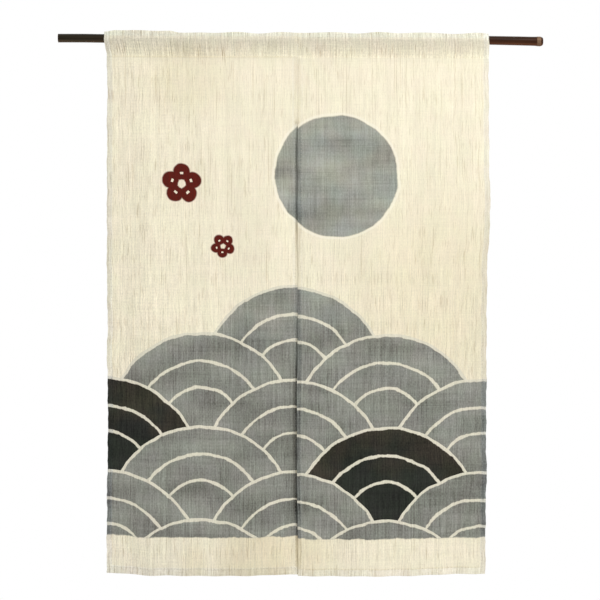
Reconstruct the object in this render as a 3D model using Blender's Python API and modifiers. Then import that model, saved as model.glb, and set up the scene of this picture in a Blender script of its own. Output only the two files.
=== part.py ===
"""Noren curtain on a bamboo pole: two hand-woven bast-fibre panels, sewn edge to edge at the top,
slit below, and folded over at the head into a sewn pocket that the pole runs through.

Metres. +X is to the right as seen from the front, the front faces -Y, and +Z is up. The origin is on
the pole's axis, half way along it.
"""

import math
from collections import namedtuple

import bmesh
import bpy
import numpy as np

# Driving sizes of the cloth
CLOTH = 0.0012  # one layer
HEM_CLOTH = 0.0020  # a turned hem, pressed flat
OUTER_HEM = 0.011
SLIT_HEM = 0.009
BOTTOM_HEM = 0.017
HEM_STEP = 0.002  # the width over which the thickness changes
SLIT_X = -0.0062  # where the two panels meet
SEAM_END = -0.183  # the panels are sewn together down to here, and are free below
SEW_GAP = 0.0003  # between pieces that touch
STITCH_HEIGHT = -0.037  # the pocket's stitch line, below the pole's axis
CREST_ANGLE = math.radians(45)  # the cloth leaves the pole at this slope towards the crease
CREST_RADIUS = 0.0012  # the soft crease along the top

# Driving sizes of the pole
POLE_LENGTH = 1.072
POLE_RADIUS = 0.0093
NODE_RADIUS = 0.01025
NODE_X = (-0.282, -0.012, 0.258, 0.527)
POLE_SIDES = 24

# The grid that each panel is laid out on
COLUMNS = 20  # between the side hems
TAIL_ROWS = 24  # between the bottom hem and the stitch line
WRAP_STEPS = 4  # along the cloth's wrap round each side of the pole

Edge = namedtuple("Edge", "height x")
Hem = namedtuple("Hem", "x height")
Lap = namedtuple("Lap", "height apart")
Wave = namedtuple("Wave", "length depth phase lean")
Bend = namedtuple("Bend", "power rise")
Panel = namedtuple("Panel", "name left_edge right_edge hem_line slit_side")

# The pole grows a little crooked: its axis rises by each amount times (x / half its length) ** power
POLE_BENDS = (Bend(3, -0.0043), Bend(2, -0.0010))

# The outer edges pull in below the pocket, and the right one drifts in again lower down
OUTER_LEFT = (
    Edge(0.016, -0.4341),
    Edge(-0.006, -0.4338),
    Edge(-0.037, -0.4290),
    Edge(-0.080, -0.4270),
    Edge(-0.180, -0.4265),
    Edge(-0.620, -0.4272),
    Edge(-1.190, -0.4268),
)
OUTER_RIGHT = (
    Edge(0.016, 0.4163),
    Edge(-0.037, 0.4163),
    Edge(-0.390, 0.4170),
    Edge(-0.445, 0.4155),
    Edge(-0.490, 0.4125),
    Edge(-0.880, 0.4108),
    Edge(-1.020, 0.4118),
    Edge(-1.190, 0.4070),
)
# Below the seam the left panel's edge slips behind the right panel's, and comes clear again at the hem
SLIT_LEFT = (
    Edge(0.016, SLIT_X - SEW_GAP / 2),
    Edge(-0.250, SLIT_X - SEW_GAP / 2),
    Edge(-0.330, SLIT_X + 0.0032),
    Edge(-1.050, SLIT_X + 0.0030),
    Edge(-1.190, SLIT_X - 0.0002),
)
SLIT_RIGHT = (
    Edge(0.016, SLIT_X + SEW_GAP / 2),
    Edge(-1.020, SLIT_X + SEW_GAP / 2),
    Edge(-1.190, SLIT_X + 0.0022),
)
# How far the right panel's free edge stands in front of the left panel's
SLIT_LAP = (
    Lap(0.016, 0.0),
    Lap(SEAM_END, 0.0),
    Lap(-0.250, 0.0050),
    Lap(-0.550, 0.0056),
    Lap(-0.760, 0.0088),
    Lap(-1.050, 0.0100),
    Lap(-1.190, 0.0066),
)
SLIT_CURL = 0.030  # the width of cloth that turns towards the lap
EDGE_CURL = 0.022  # the width of cloth that turns back along the outer edges
EDGE_CURL_DEPTH = 0.0045

# The bottom hems don't hang quite level
HEM_LEFT = (
    Hem(-0.427, -1.1790),
    Hem(-0.340, -1.1830),
    Hem(-0.276, -1.1836),
    Hem(-0.162, -1.1866),
    Hem(-0.083, -1.1830),
    Hem(-0.008, -1.1818),
)
HEM_RIGHT = (
    Hem(-0.004, -1.1850),
    Hem(0.073, -1.1861),
    Hem(0.176, -1.1850),
    Hem(0.247, -1.1849),
    Hem(0.310, -1.1822),
    Hem(0.405, -1.1790),
)

# Slow vertical waves of the hanging cloth, which lean a little and grow down from the pocket
WAVES = (
    Wave(0.236, 0.0034, 0.6, 0.5),
    Wave(0.127, 0.0016, 2.1, -0.9),
    Wave(0.071, 0.0006, 4.0, 1.3),
)
WAVES_START = -0.060
WAVES_FULL = -0.650
WAVES_AT_START = 0.25  # their share just below the pocket

PANELS = (
    Panel("panel_left", OUTER_LEFT, SLIT_LEFT, HEM_LEFT, "right"),
    Panel("panel_right", SLIT_RIGHT, OUTER_RIGHT, HEM_RIGHT, "left"),
)


def pole_rise(x):
    """Height of the pole's crooked axis at x."""
    share = x / (POLE_LENGTH / 2)
    return sum(bend.rise * share**bend.power for bend in POLE_BENDS)


def read(table, at):
    """Value of a two-column table at a place, straight between its rows."""
    rows = sorted(table)
    return float(np.interp(at, [row[0] for row in rows], [row[1] for row in rows]))


def ease(value, start, end):
    """0 at start and 1 at end, smooth between them."""
    share = min(1.0, max(0.0, (value - start) / (end - start)))
    return share * share * (3 - 2 * share)


def curl(distance, width):
    """1 at an edge, falling smoothly to 0 at a width from it."""
    return max(0.0, 1 - distance / width) ** 2


def hang_depth(panel, x, height):
    """Y of the hanging cloth's middle, below the pocket."""
    grown = WAVES_AT_START + (1 - WAVES_AT_START) * ease(height, WAVES_START, WAVES_FULL)
    grown *= ease(height, STITCH_HEIGHT, WAVES_START - 0.060)
    depth = sum(
        wave.depth * math.sin(2 * math.pi * x / wave.length + wave.phase + wave.lean * height)
        for wave in WAVES
    )
    depth *= grown
    left, right = read(panel.left_edge, height), read(panel.right_edge, height)
    # the left panel's free edge turns back and the right panel's turns forward, half the lap each
    towards, from_slit, from_outer = -1, x - left, right - x
    if panel.slit_side == "right":
        towards, from_slit, from_outer = 1, right - x, x - left
    depth += towards * read(SLIT_LAP, height) / 2 * curl(from_slit, SLIT_CURL)
    depth += EDGE_CURL_DEPTH * ease(height, -0.045, -0.120) * curl(from_outer, EDGE_CURL)
    return depth


def pocket_section():
    """(y, z) of the pocket's cloth round the pole's axis, up the front and down the back."""
    wrap = NODE_RADIUS + SEW_GAP + CLOTH / 2
    lowest = -math.asin(wrap / -STITCH_HEIGHT)
    angles = [
        lowest + (CREST_ANGLE - lowest) * step / WRAP_STEPS for step in range(WRAP_STEPS + 1)
    ]
    front = [(-wrap * math.cos(angle), wrap * math.sin(angle)) for angle in angles]
    # a 45 degree tent over the pole, rounded off along the crease
    centre = (wrap - CREST_RADIUS) / math.sin(CREST_ANGLE)
    turn = (-CREST_RADIUS * math.cos(CREST_ANGLE), centre + CREST_RADIUS * math.sin(CREST_ANGLE))
    front.append(turn)
    back = [(-y, z) for y, z in reversed(front)]
    return front + [(0.0, centre + CREST_RADIUS)] + back


def tail_shares():
    """Heights of the rows below the pocket, as shares from the bottom edge to the stitch line."""
    drop = STITCH_HEIGHT - HEM_LEFT[0].height
    hem = [0.0, BOTTOM_HEM / drop, (BOTTOM_HEM + HEM_STEP) / drop]
    rest = [hem[-1] + (1 - hem[-1]) * (row + 1) / TAIL_ROWS for row in range(TAIL_ROWS)]
    return hem + rest


def columns_at(panel, height):
    """X of a row's points: close together at the side hems, even between them."""
    left, right = read(panel.left_edge, height), read(panel.right_edge, height)
    hems = (OUTER_HEM, SLIT_HEM) if panel.slit_side == "right" else (SLIT_HEM, OUTER_HEM)
    inner = np.linspace(left + hems[0] + HEM_STEP, right - hems[1] - HEM_STEP, COLUMNS + 1)
    return [left, left + hems[0], *inner, right - hems[1], right]


def cloth_places(panel):
    """Rows of (point, is it hemmed), from the bottom edge up and over the pole to the stitch line."""
    rows = []
    shares = tail_shares()
    bottom = min(row.height for row in panel.hem_line)
    for number, share in enumerate(shares):
        nominal = bottom + (STITCH_HEIGHT - bottom) * share
        row = []
        places = columns_at(panel, nominal)
        for column, x in enumerate(places):
            low = read(panel.hem_line, x)
            high = STITCH_HEIGHT + pole_rise(x)
            height = low + (high - low) * share
            hemmed = number < 2 or column < 2 or column > len(places) - 3
            hemmed = hemmed and number < len(shares) - 1
            behind = (HEM_CLOTH - CLOTH) / 2 if hemmed else 0.0
            row.append(((x, hang_depth(panel, x, nominal) + behind, height), hemmed))
        rows.append(row)
    for y, z in pocket_section():
        rows.append([((x, y, z + pole_rise(x)), False) for x in columns_at(panel, z)])
    rows.append(rows[len(shares) - 1])
    return rows


def material(name, colour, roughness):
    made = bpy.data.materials.new(name)
    made.use_nodes = True
    shader = made.node_tree.nodes["Principled BSDF"]
    shader.inputs["Base Color"].default_value = (*colour, 1)
    shader.inputs["Roughness"].default_value = roughness
    shader.inputs["Metallic"].default_value = 0.0
    return made


def cloth_panel(panel, parts):
    """One panel: a flat grid of cloth, hung by moving its points, joined to itself at the stitch line."""
    places = cloth_places(panel)
    last_row, last_column = len(places) - 1, len(places[0]) - 1
    flat = bmesh.new()
    bmesh.ops.create_grid(flat, x_segments=last_column, y_segments=last_row, size=1.0)
    weights = flat.verts.layers.deform.verify()
    for vert in flat.verts:
        column = round((vert.co.x + 1) / 2 * last_column)
        row = round((vert.co.y + 1) / 2 * last_row)
        vert.co, hemmed = places[row][column]
        vert[weights][0] = 1.0 if hemmed else CLOTH / HEM_CLOTH
    bmesh.ops.remove_doubles(flat, verts=flat.verts, dist=1e-6)
    mesh = bpy.data.meshes.new(panel.name)
    flat.to_mesh(mesh)
    flat.free()
    piece = bpy.data.objects.new(panel.name, mesh)
    piece.vertex_groups.new(name="thickness")
    parts.objects.link(piece)
    mesh.materials.append(material(panel.name + " cloth", (0.87, 0.82, 0.68), 0.9))
    thick = piece.modifiers.new("cloth thickness", "SOLIDIFY")
    thick.solidify_mode = "NON_MANIFOLD"
    thick.nonmanifold_thickness_mode = "EVEN"
    thick.nonmanifold_merge_threshold = 0.00001
    thick.thickness = HEM_CLOTH
    thick.offset = 0.0
    thick.vertex_group = "thickness"
    mesh.shade_smooth()
    return piece


def pole_stations():
    """(x, radius) along the culm: sawn at the left, swollen at nodes, rounded off at the right."""
    half = POLE_LENGTH / 2
    stations = [(-half, POLE_RADIUS - 0.0005), (-half + 0.0006, POLE_RADIUS)]
    stations.append((-half + 0.004, POLE_RADIUS))
    for x in NODE_X:
        stations.append((x - 0.016, POLE_RADIUS))
        stations.append((x - 0.007, POLE_RADIUS + 0.0003))
        stations.append((x - 0.003, NODE_RADIUS - 0.0002))
        stations.append((x, NODE_RADIUS))
        stations.append((x + 0.003, NODE_RADIUS - 0.0002))
        if x < half - 0.020:
            stations.append((x + 0.012, POLE_RADIUS))
    stations.append((half - 0.0035, NODE_RADIUS - 0.0006))
    stations.append((half - 0.0012, NODE_RADIUS - 0.0015))
    stations.append((half, NODE_RADIUS - 0.0030))
    return stations


def pole(parts):
    """The culm is one beveled line whose points carry its thickness."""
    line = bpy.data.curves.new("pole", "CURVE")
    line.dimensions = "3D"
    line.bevel_depth = 1.0
    line.bevel_resolution = POLE_SIDES // 2 - 2
    line.use_fill_caps = True
    stations = pole_stations()
    spline = line.splines.new("POLY")
    spline.points.add(len(stations) - 1)
    for point, (x, radius) in zip(spline.points, stations):
        # the end stretches run level, so that the sawn faces are square to X
        inside = max(stations[2][0], min(stations[-4][0], x))
        point.co = (x, 0.0, pole_rise(inside), 1.0)
        point.radius = radius
    piece = bpy.data.objects.new("pole", line)
    line.materials.append(material("smoked bamboo", (0.045, 0.028, 0.020), 0.45))
    parts.objects.link(piece)
    return piece


def main():
    for old in list(bpy.data.objects):
        bpy.data.objects.remove(old)
    parts = bpy.data.collections.new("noren curtain")
    bpy.context.scene.collection.children.link(parts)
    for panel in PANELS:
        cloth_panel(panel, parts)
    pole(parts)


main()
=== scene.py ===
# %% [markdown]
# # A noren curtain on a bamboo pole
# A noren is a split curtain that hangs in a Japanese doorway. This one is two loom widths of hand-woven
# bast cloth, stiff and a little sheer, sewn together along their top 200 mm. The head of the cloth is
# folded back and sewn down as a pocket, and a smoked bamboo pole runs through it.
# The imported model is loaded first, as the frame that every piece here is made to.

import math
from collections import namedtuple

import bpy
import numpy as np
from mathutils import Matrix, Vector, noise


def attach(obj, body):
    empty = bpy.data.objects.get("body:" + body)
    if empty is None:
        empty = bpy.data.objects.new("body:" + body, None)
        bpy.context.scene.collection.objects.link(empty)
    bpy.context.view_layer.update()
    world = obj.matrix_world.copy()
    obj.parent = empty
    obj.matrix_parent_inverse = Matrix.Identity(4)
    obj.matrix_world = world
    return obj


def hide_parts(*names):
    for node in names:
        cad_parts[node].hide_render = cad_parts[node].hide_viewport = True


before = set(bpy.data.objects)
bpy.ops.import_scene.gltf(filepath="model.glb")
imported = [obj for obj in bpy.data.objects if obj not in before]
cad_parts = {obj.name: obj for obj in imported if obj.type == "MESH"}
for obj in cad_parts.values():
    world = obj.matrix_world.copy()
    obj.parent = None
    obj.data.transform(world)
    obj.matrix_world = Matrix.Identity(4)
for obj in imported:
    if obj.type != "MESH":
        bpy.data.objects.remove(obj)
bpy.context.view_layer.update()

# %% [markdown]
# The curtain's own sizes come next, in metres, with +X to the right, the front facing -Y and +Z up. The
# origin is on the pole's axis, half way along. The cloth was measured at a few heights, and short tables
# with named columns hold those places, so that a reader can see at once where an edge runs.

# %% Sizes of the cloth
SLIT_X = -0.0062  # where the two panels meet
SEAM_END = -0.183  # the panels are sewn together down to here
SEW_GAP = 0.0003
STITCH_HEIGHT = -0.037  # the pocket's stitch line
OUTER_HEM = 0.011
SLIT_HEM = 0.009
BOTTOM_HEM = 0.017
PLY = 0.0006  # from one layer of cloth to the next in a hem

Edge = namedtuple("Edge", "height x")
Hem = namedtuple("Hem", "x height")
Lap = namedtuple("Lap", "height back")
SlitLap = namedtuple("SlitLap", "height back forward")
Wave = namedtuple("Wave", "length depth phase lean")
Bend = namedtuple("Bend", "power rise")
Panel = namedtuple("Panel", "name node left_edge right_edge hem_line slit_side drift seed")

OUTER_LEFT = (
    Edge(0.016, -0.4341), Edge(-0.006, -0.4338), Edge(-0.037, -0.4290), Edge(-0.080, -0.4272),
    Edge(-0.170, -0.4282), Edge(-0.430, -0.4288), Edge(-0.540, -0.4288), Edge(-0.620, -0.4270),
    Edge(-0.700, -0.4288), Edge(-0.800, -0.4266), Edge(-0.910, -0.4268), Edge(-0.980, -0.4284),
    Edge(-1.190, -0.4294),
)
OUTER_RIGHT = (
    Edge(0.016, 0.4163), Edge(-0.037, 0.4163), Edge(-0.280, 0.4172), Edge(-0.350, 0.4196),
    Edge(-0.410, 0.4186), Edge(-0.445, 0.4160), Edge(-0.490, 0.4125), Edge(-0.640, 0.4106),
    Edge(-0.780, 0.4104), Edge(-0.880, 0.4092), Edge(-0.960, 0.4112), Edge(-1.040, 0.4086),
    Edge(-1.140, 0.4086), Edge(-1.190, 0.4074),
)
SLIT_LEFT = (
    Edge(0.016, SLIT_X - SEW_GAP / 2),
    Edge(-0.192, SLIT_X - SEW_GAP / 2),
    Edge(-0.240, SLIT_X + 0.0019),
    Edge(-0.600, SLIT_X + 0.0019),
    Edge(-0.700, SLIT_X + 0.0030),
    Edge(-1.080, SLIT_X + 0.0030),
    Edge(-1.190, SLIT_X + 0.0020),
)
SLIT_RIGHT = (
    Edge(0.016, SLIT_X + SEW_GAP / 2),
    Edge(-0.700, SLIT_X - 0.0004),
    Edge(-0.780, SLIT_X - 0.0020),
    Edge(-1.020, SLIT_X - 0.0016),
    Edge(-1.100, SLIT_X + SEW_GAP / 2),
    Edge(-1.190, SLIT_X + 0.0006),
)
# below the seam the left panel's edge falls back and the right one's comes forward
SLIT_LAPS = (
    SlitLap(SEAM_END, 0.0, 0.0), SlitLap(-0.215, 0.0044, 0.0030), SlitLap(-0.400, 0.0052, 0.0034),
    SlitLap(-0.480, 0.0007, 0.0003), SlitLap(-0.560, 0.0007, 0.0003), SlitLap(-0.690, 0.0036, 0.0020),
    SlitLap(-0.780, 0.0106, 0.0059), SlitLap(-0.970, 0.0106, 0.0059), SlitLap(-1.050, 0.0066, 0.0036),
    SlitLap(-1.110, 0.0040, 0.0016), SlitLap(-1.190, 0.0022, 0.0012),
)
# how far each outer edge turns back; below zero it turns forward
OUTER_LAP_LEFT = (Lap(-0.045, 0.0), Lap(-0.120, 0.0016), Lap(-0.900, 0.0008), Lap(-1.190, -0.0026))
OUTER_LAP_RIGHT = (
    Lap(-0.045, 0.0), Lap(-0.120, 0.0034), Lap(-0.280, 0.0010),
    Lap(-0.400, -0.0036), Lap(-0.900, -0.0036), Lap(-1.060, -0.0010),
)
HEM_LEFT = (
    Hem(-0.427, -1.1806), Hem(-0.385, -1.1812), Hem(-0.350, -1.1856), Hem(-0.276, -1.1858),
    Hem(-0.162, -1.1880), Hem(-0.083, -1.1852), Hem(-0.040, -1.1828), Hem(-0.008, -1.1848),
)
HEM_RIGHT = (
    Hem(-0.004, -1.1868), Hem(0.073, -1.1880), Hem(0.176, -1.1872), Hem(0.247, -1.1868),
    Hem(0.310, -1.1838), Hem(0.405, -1.1812),
)
WAVES = (
    Wave(0.236, 0.0034, 0.6, 0.5),
    Wave(0.127, 0.0016, 2.1, -0.9),
    Wave(0.071, 0.0006, 4.0, 1.3),
)
# drift is how far up a panel's dyed pattern lies, because no two panels are cut quite alike
PANELS = (
    Panel("left_panel_cloth", "panel_left", OUTER_LEFT, SLIT_LEFT, HEM_LEFT, "right", 0.0, 3.0),
    Panel("right_panel_cloth", "panel_right", SLIT_RIGHT, OUTER_RIGHT, HEM_RIGHT, "left", 0.003, 8.0),
)
print("panels:", [panel.name for panel in PANELS])

# %% Sizes of the pole
POLE_LENGTH = 1.072
POLE_RADIUS = 0.0095
NODE_RADIUS = 0.01025
NODE_X = (-0.282, -0.012, 0.258, 0.527)
POLE_BENDS = (Bend(3, -0.0043), Bend(2, -0.0008))
POLE_LIFT = 0.0006  # the pole bears up against the head of its pocket


def pole_rise(x):
    """Height of the crooked pole's axis at x."""
    share = x / (POLE_LENGTH / 2)
    return sum(bend.rise * share**bend.power for bend in POLE_BENDS)


print("pole ends at heights", round(pole_rise(-0.536), 4), round(pole_rise(0.536), 4))

# %% [markdown]
# ## Shader maths as expressions
# A finish is easier to read as arithmetic than as a page of nodes. `Value` wraps a socket, and adding,
# multiplying or comparing two of them adds the Math nodes that do it. Any other node comes from
# `Finish.node`, which takes its type, its settings and what goes into its sockets.

# %% A small shader-maths kit
class Value:
    """A number that changes over a surface."""

    def __init__(self, finish, socket):
        self.finish = finish
        self.socket = socket

    def math(self, operation, *others):
        inputs = dict(enumerate((self, *others)))
        made = self.finish.node("ShaderNodeMath", {"operation": operation}, inputs)
        return Value(self.finish, made.outputs[0])

    def __add__(self, other):
        return self.math("ADD", other)

    __radd__ = __add__

    def __mul__(self, other):
        return self.math("MULTIPLY", other)

    __rmul__ = __mul__

    def __sub__(self, other):
        return self.math("SUBTRACT", other)

    def __rsub__(self, other):
        return (self * -1.0) + other

    def __truediv__(self, other):
        return self.math("DIVIDE", other)

    def __pow__(self, other):
        return self.math("POWER", other)

    def __lt__(self, other):
        return self.math("LESS_THAN", other)

    def floor(self):
        return self.math("FLOOR")

    def size(self):
        return self.math("ABSOLUTE")

    def least(self, other):
        return self.math("MINIMUM", other)

    def most(self, other):
        return self.math("MAXIMUM", other)

    def rise(self, low, high):
        """0 below low and 1 above high, smooth between them; falling if low is above high."""
        settings = {"interpolation_type": "SMOOTHSTEP"}
        made = self.finish.node("ShaderNodeMapRange", settings, {0: self, 1: low, 2: high})
        return Value(self.finish, made.outputs[0])

    def band(self, middle, width, soft):
        """1 within width of a middle value, falling to 0 over soft."""
        return (self - middle).size().rise(width / 2 + soft / 2, width / 2 - soft / 2)


class Finish:
    """A material, or a world, and the nodes in it."""

    def __init__(self, name, kind=bpy.data.materials):
        self.made = kind.new(name)
        self.made.use_nodes = True
        self.tree = self.made.node_tree
        self.tree.nodes.clear()

    def node(self, kind, settings=(), sockets=()):
        """Adds a node: its settings first, then each socket's value or link."""
        made = self.tree.nodes.new(kind)
        for name, setting in dict(settings).items():
            setattr(made, name, setting)
        for where, what in dict(sockets).items():
            what = what.socket if isinstance(what, Value) else what
            if isinstance(what, bpy.types.NodeSocket):
                self.tree.links.new(what, made.inputs[where])
            else:
                made.inputs[where].default_value = what
        return made

    def value(self, made, output=0):
        return Value(self, made.outputs[output])

    def parts(self, point):
        """The x, y and z of a point."""
        made = self.node("ShaderNodeSeparateXYZ", (), {0: point})
        return [self.value(made, axis) for axis in range(3)]

    def place_on_piece(self):
        """Where a point is on the piece."""
        return self.node("ShaderNodeTexCoord").outputs["Object"]

    def place(self, x, y, z=0.0):
        """A point, from three values."""
        return self.node("ShaderNodeCombineXYZ", (), {0: x, 1: y, 2: z}).outputs[0]

    def grain(self, x, y, z=0.0, detail=2.0, roughness=0.5):
        """Soft noise about 0.5 over a plane; its grains are one unit of x, y and z across."""
        sockets = {"Vector": self.place(x, y, z), "Scale": 1.0, "Detail": detail, "Roughness": roughness}
        return self.value(self.node("ShaderNodeTexNoise", {"noise_dimensions": "3D"}, sockets))

    def blend(self, share, first, second, how="MIX"):
        """The first colour where share is 0; the second, or with MULTIPLY both multiplied, where it is 1."""
        settings = {"data_type": "RGBA", "blend_type": how}
        return self.node("ShaderNodeMix", settings, {0: share, 6: first, 7: second}).outputs[2]

    def scale(self, colour, amount):
        """A colour made lighter or darker."""
        colour = colour[:3] if isinstance(colour, tuple) else colour
        made = self.node("ShaderNodeVectorMath", {"operation": "SCALE"}, {0: colour, 3: amount})
        return made.outputs[0]

    def coat(self, pieces, shader):
        """Ends the material in a shader and puts it on some pieces."""
        self.node("ShaderNodeOutputMaterial", (), {"Surface": shader.outputs[0]})
        for piece in pieces:
            piece.data.materials.clear()
            piece.data.materials.append(self.made)


def tint(red, green, blue):
    """A screen colour from 0 to 255 as the linear colour that a shader takes."""
    screen = [c / 255 for c in (red, green, blue)]
    return (*(c / 12.92 if c < 0.04 else ((c + 0.055) / 1.055) ** 2.4 for c in screen), 1.0)


print("cream is", [round(c, 3) for c in tint(246, 238, 211)])

# %% [markdown]
# ## Camera, light and floor
# The curtain is seen square from the front against white, so the camera stands 4 m away with a long lens
# and looks straight along +Y. A long lens from far off keeps the cloth's sides parallel. The light is a
# white room all round, brighter at its ceiling, which also shines through the cloth from behind. One large
# soft lamp at the upper right gives the folds and the slit their shade, and leaves the lower left dimmer.
# More shade at the slit and at the lower left is painted into the cloth's colour.

# %% Camera
PIXEL = 0.002212  # metres of cloth for each pixel of the 600 pixel frame
CAMERA_AWAY = 4.0
FRAME_WIDTH = 600 * PIXEL

bpy.ops.object.select_all(action="DESELECT")
bpy.ops.object.camera_add(location=(-0.0012, -CAMERA_AWAY, -0.5762), rotation=(math.pi / 2, 0, 0))
camera = bpy.context.object
camera.data.sensor_width = 36.0
camera.data.lens = camera.data.sensor_width * CAMERA_AWAY / FRAME_WIDTH
bpy.context.scene.camera = camera
bpy.context.scene.view_settings.view_transform = "Standard"
print("lens", round(camera.data.lens, 1), "mm, frame", round(FRAME_WIDTH, 3), "m wide")

# %% Light and floor
ROOM_LOW, ROOM_HIGH = 0.58, 1.02  # the room's own light, at its foot and at its ceiling
KEY_PLACE = Vector((1.40, -1.75, 1.25))
KEY_POWER = 46.0

WHITE = (1, 1, 1, 1)

room = Finish("white room", bpy.data.worlds)
bpy.context.scene.world = room.made
_, _, upward = room.parts(room.node("ShaderNodeTexCoord").outputs["Generated"])
level = room.node("ShaderNodeMapRange", (), {0: upward, 1: -0.2, 2: 1.0, 3: ROOM_LOW, 4: ROOM_HIGH})
glow = room.node("ShaderNodeBackground", (), {"Color": WHITE, "Strength": level.outputs[0]})
seen = room.node("ShaderNodeBackground", (), {"Color": WHITE, "Strength": 1.0})
by_camera = room.node("ShaderNodeLightPath").outputs["Is Camera Ray"]
either = room.node("ShaderNodeMixShader", (), {0: by_camera, 1: glow.outputs[0], 2: seen.outputs[0]})
room.node("ShaderNodeOutputWorld", (), {"Surface": either.outputs[0]})

bpy.ops.object.light_add(type="AREA", location=KEY_PLACE)
key = bpy.context.object
key.name = "key_lamp"
key.data.shape = "DISK"
key.data.size = 1.0
key.data.energy = KEY_POWER
key.rotation_euler = (Vector((0, 0, -0.45)) - KEY_PLACE).to_track_quat("-Z", "Y").to_euler()

bpy.ops.mesh.primitive_circle_add(vertices=64, radius=3.6, fill_type="NGON", location=(0, 0, -1.95))
floor = bpy.context.object
floor.name = "floor"
pale = Finish("pale floor")
matt = {"Base Color": (0.86, 0.86, 0.85, 1), "Roughness": 0.9}
pale.coat([floor], pale.node("ShaderNodeBsdfPrincipled", (), matt))
print("key lamp of", KEY_POWER, "W at", tuple(round(c, 2) for c in KEY_PLACE))

# %% [markdown]
# ## How the cloth hangs
# The cloth is a flat cut first, and then it is hung: each point of the cut has a place `u` across and `v`
# up, and a few functions say where that place is in the room. The same two numbers are the cut's UV map,
# so the weave and the dye follow the threads round every fold.
# The hems are turned and the head is folded over as on the real curtain, because the extra layers are what
# makes hems and pocket look denser than the rest when light shines through.

# %% Reading the tables
def read(table, at, soft=0.0, column=1):
    """Values of a table's column at places, with its corners rounded over a soft distance."""
    rows = sorted(table)
    keys, values = [row[0] for row in rows], [row[column] for row in rows]
    shifts = np.linspace(-soft, soft, 5) if soft else (0.0,)
    return np.mean([np.interp(at + shift, keys, values) for shift in shifts], axis=0)


def ease(value, start, end):
    share = np.clip((value - start) / (end - start), 0, 1)
    return share * share * (3 - 2 * share)


def curl(distance, width):
    return np.clip(1 - distance / width, 0, 1) ** 2


def edges_at(panel, height):
    """X of a panel's two edges: hand-sewn, so they wander by up to a millimetre."""
    found = []
    for table, turn in ((panel.left_edge, 0.0), (panel.right_edge, 1.7)):
        free = 0.4 * ease(height, SEAM_END, SEAM_END - 0.05) if table in (SLIT_LEFT, SLIT_RIGHT) else 1.0
        wander = 0.00055 * np.sin(height * 61 + turn + panel.seed)
        wander = wander + 0.00045 * np.sin(height * 143 + 2 * turn)
        wander = wander + 0.0003 * np.sin(height * 331 + turn * 3)
        found.append(read(table, height, 0.012) + wander * free)
    return found


print("edges at mid height:", [np.round(edges_at(panel, -0.6), 4) for panel in PANELS])

# %% Where the hanging cloth is
def hang_depth(panel, x, height):
    """Y of the hanging cloth below its pocket."""
    grown = 0.25 + 0.75 * ease(height, -0.060, -0.650)
    grown = grown * ease(height, STITCH_HEIGHT, -0.120)
    depth = 0.0
    for wave in WAVES:
        turn = 2 * math.pi * x / wave.length + wave.phase + wave.lean * height
        depth = depth + wave.depth * np.sin(turn) * grown
    # the sewing line gathers the cloth a little, which shows as short upright ripples under it
    gather = 0.0006 * np.sin(x * 170 + 1.5 * np.sin(x * 23)) * np.sin(x * 47 + 1.0)
    depth = depth + gather * curl(STITCH_HEIGHT - height, 0.16) * ease(height, STITCH_HEIGHT, -0.050)
    left, right = edges_at(panel, height)
    if panel.slit_side == "right":
        depth = depth + read(SLIT_LAPS, height, 0.02) * curl(right - x, 0.044)
        return depth + read(OUTER_LAP_LEFT, height, 0.02) * curl(x - left, 0.022)
    depth = depth - read(SLIT_LAPS, height, 0.02, column=2) * curl(x - left, 0.044)
    return depth + read(OUTER_LAP_RIGHT, height, 0.02) * curl(right - x, 0.022)


def pocket_path(steps=14):
    """(y, z) from the stitch line over the pole and down behind it, and the path's length so far."""
    wrap = NODE_RADIUS + SEW_GAP + 0.0006
    crest, turn = math.radians(45), 0.0012
    lowest = -math.asin(wrap / -STITCH_HEIGHT)
    angles = np.linspace(lowest, crest, steps)
    front = [(0.0, STITCH_HEIGHT)] + [(-wrap * math.cos(a), wrap * math.sin(a)) for a in angles]
    centre = (wrap - turn) / math.sin(crest)
    tops = np.linspace(crest, math.pi / 2, 4)
    front += [(-turn * math.cos(a), centre + turn * math.sin(a)) for a in tops]
    back = [(-y, z) for y, z in reversed(front[:-1])]
    # the pocket's own lower edge lies just behind the cloth, a little below the stitches
    path = np.array(front + back[:-1] + [(PLY * 1.2, STITCH_HEIGHT), (PLY, STITCH_HEIGHT - 0.003)])
    lengths = np.concatenate([[0.0], np.cumsum(np.hypot(*np.diff(path, axis=0).T))])
    return path, lengths


POCKET, POCKET_RUN = pocket_path()
CREST_RUN = POCKET_RUN[np.argmax(POCKET[:, 1])]


def pocket_at(run):
    """(y, z) of the pocket's cloth, a run along it from the stitch line."""
    return [np.interp(run, POCKET_RUN, POCKET[:, axis]) for axis in (0, 1)]


def crest_lift(x):
    """The ironed crease stands higher over the pole near its left end, and is nowhere quite straight."""
    left_end = 0.0040 * ease(x, -0.436, -0.408) * ease(x, -0.268, -0.290)
    scallops = 0.0013 * np.cos((x + 0.039) * 59) * ease(x, -0.270, -0.180)
    return left_end + scallops + 0.0004 * np.sin(x * 31 + 1.0) + 0.0004 * np.sin(x * 83)


print("cloth in the pocket:", round(POCKET_RUN[-1] * 1000), "mm")

# %% Laying out the cut
FOLD = PLY / 2  # radius of a turned edge
FOLD_RUN = math.pi * FOLD
SHEET_STEP = 0.0036
BOTTOM_FOLD = -1.182  # the cut's own height of the bottom edge


def past_fold(hem):
    """Distances past a fold, from the raw edge of a hem to the fold itself."""
    return np.concatenate([np.linspace(hem, 1.6 * FOLD_RUN, 4), np.linspace(FOLD_RUN, 0, 4, endpoint=False)])


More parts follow.
